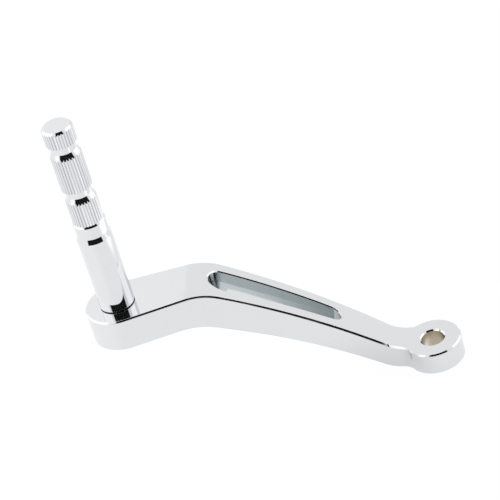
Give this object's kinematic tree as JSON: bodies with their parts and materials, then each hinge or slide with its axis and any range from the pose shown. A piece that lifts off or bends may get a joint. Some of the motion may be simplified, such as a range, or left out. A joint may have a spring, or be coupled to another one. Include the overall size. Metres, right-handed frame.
{
  "type": "motorcycle gear shift lever",
  "caption": "Chromed motorcycle gear shift lever: a bent, slotted arm with a pivot bore at its round boss and an upright barbed peg for a slip-on foot rubber.",
  "frame": {"origin": "middle of the pivot bore, halfway through the boss", "axes": "+Z along the bore and the peg, from the back of the lever to the peg's tip; +X from the pivot towards the peg"},
  "size_m": [0.1424, 0.0294, 0.1558],
  "materials": {
    "arm_chrome": "polished decorative chrome",
    "peg_chrome": "polished decorative chrome",
    "screw_steel": "zinc plated"
  },
  "bodies": {
    "root": {"lever_arm": "arm_chrome", "shift_peg": "peg_chrome", "peg_screw": "screw_steel"}
  },
  "joints": []
}
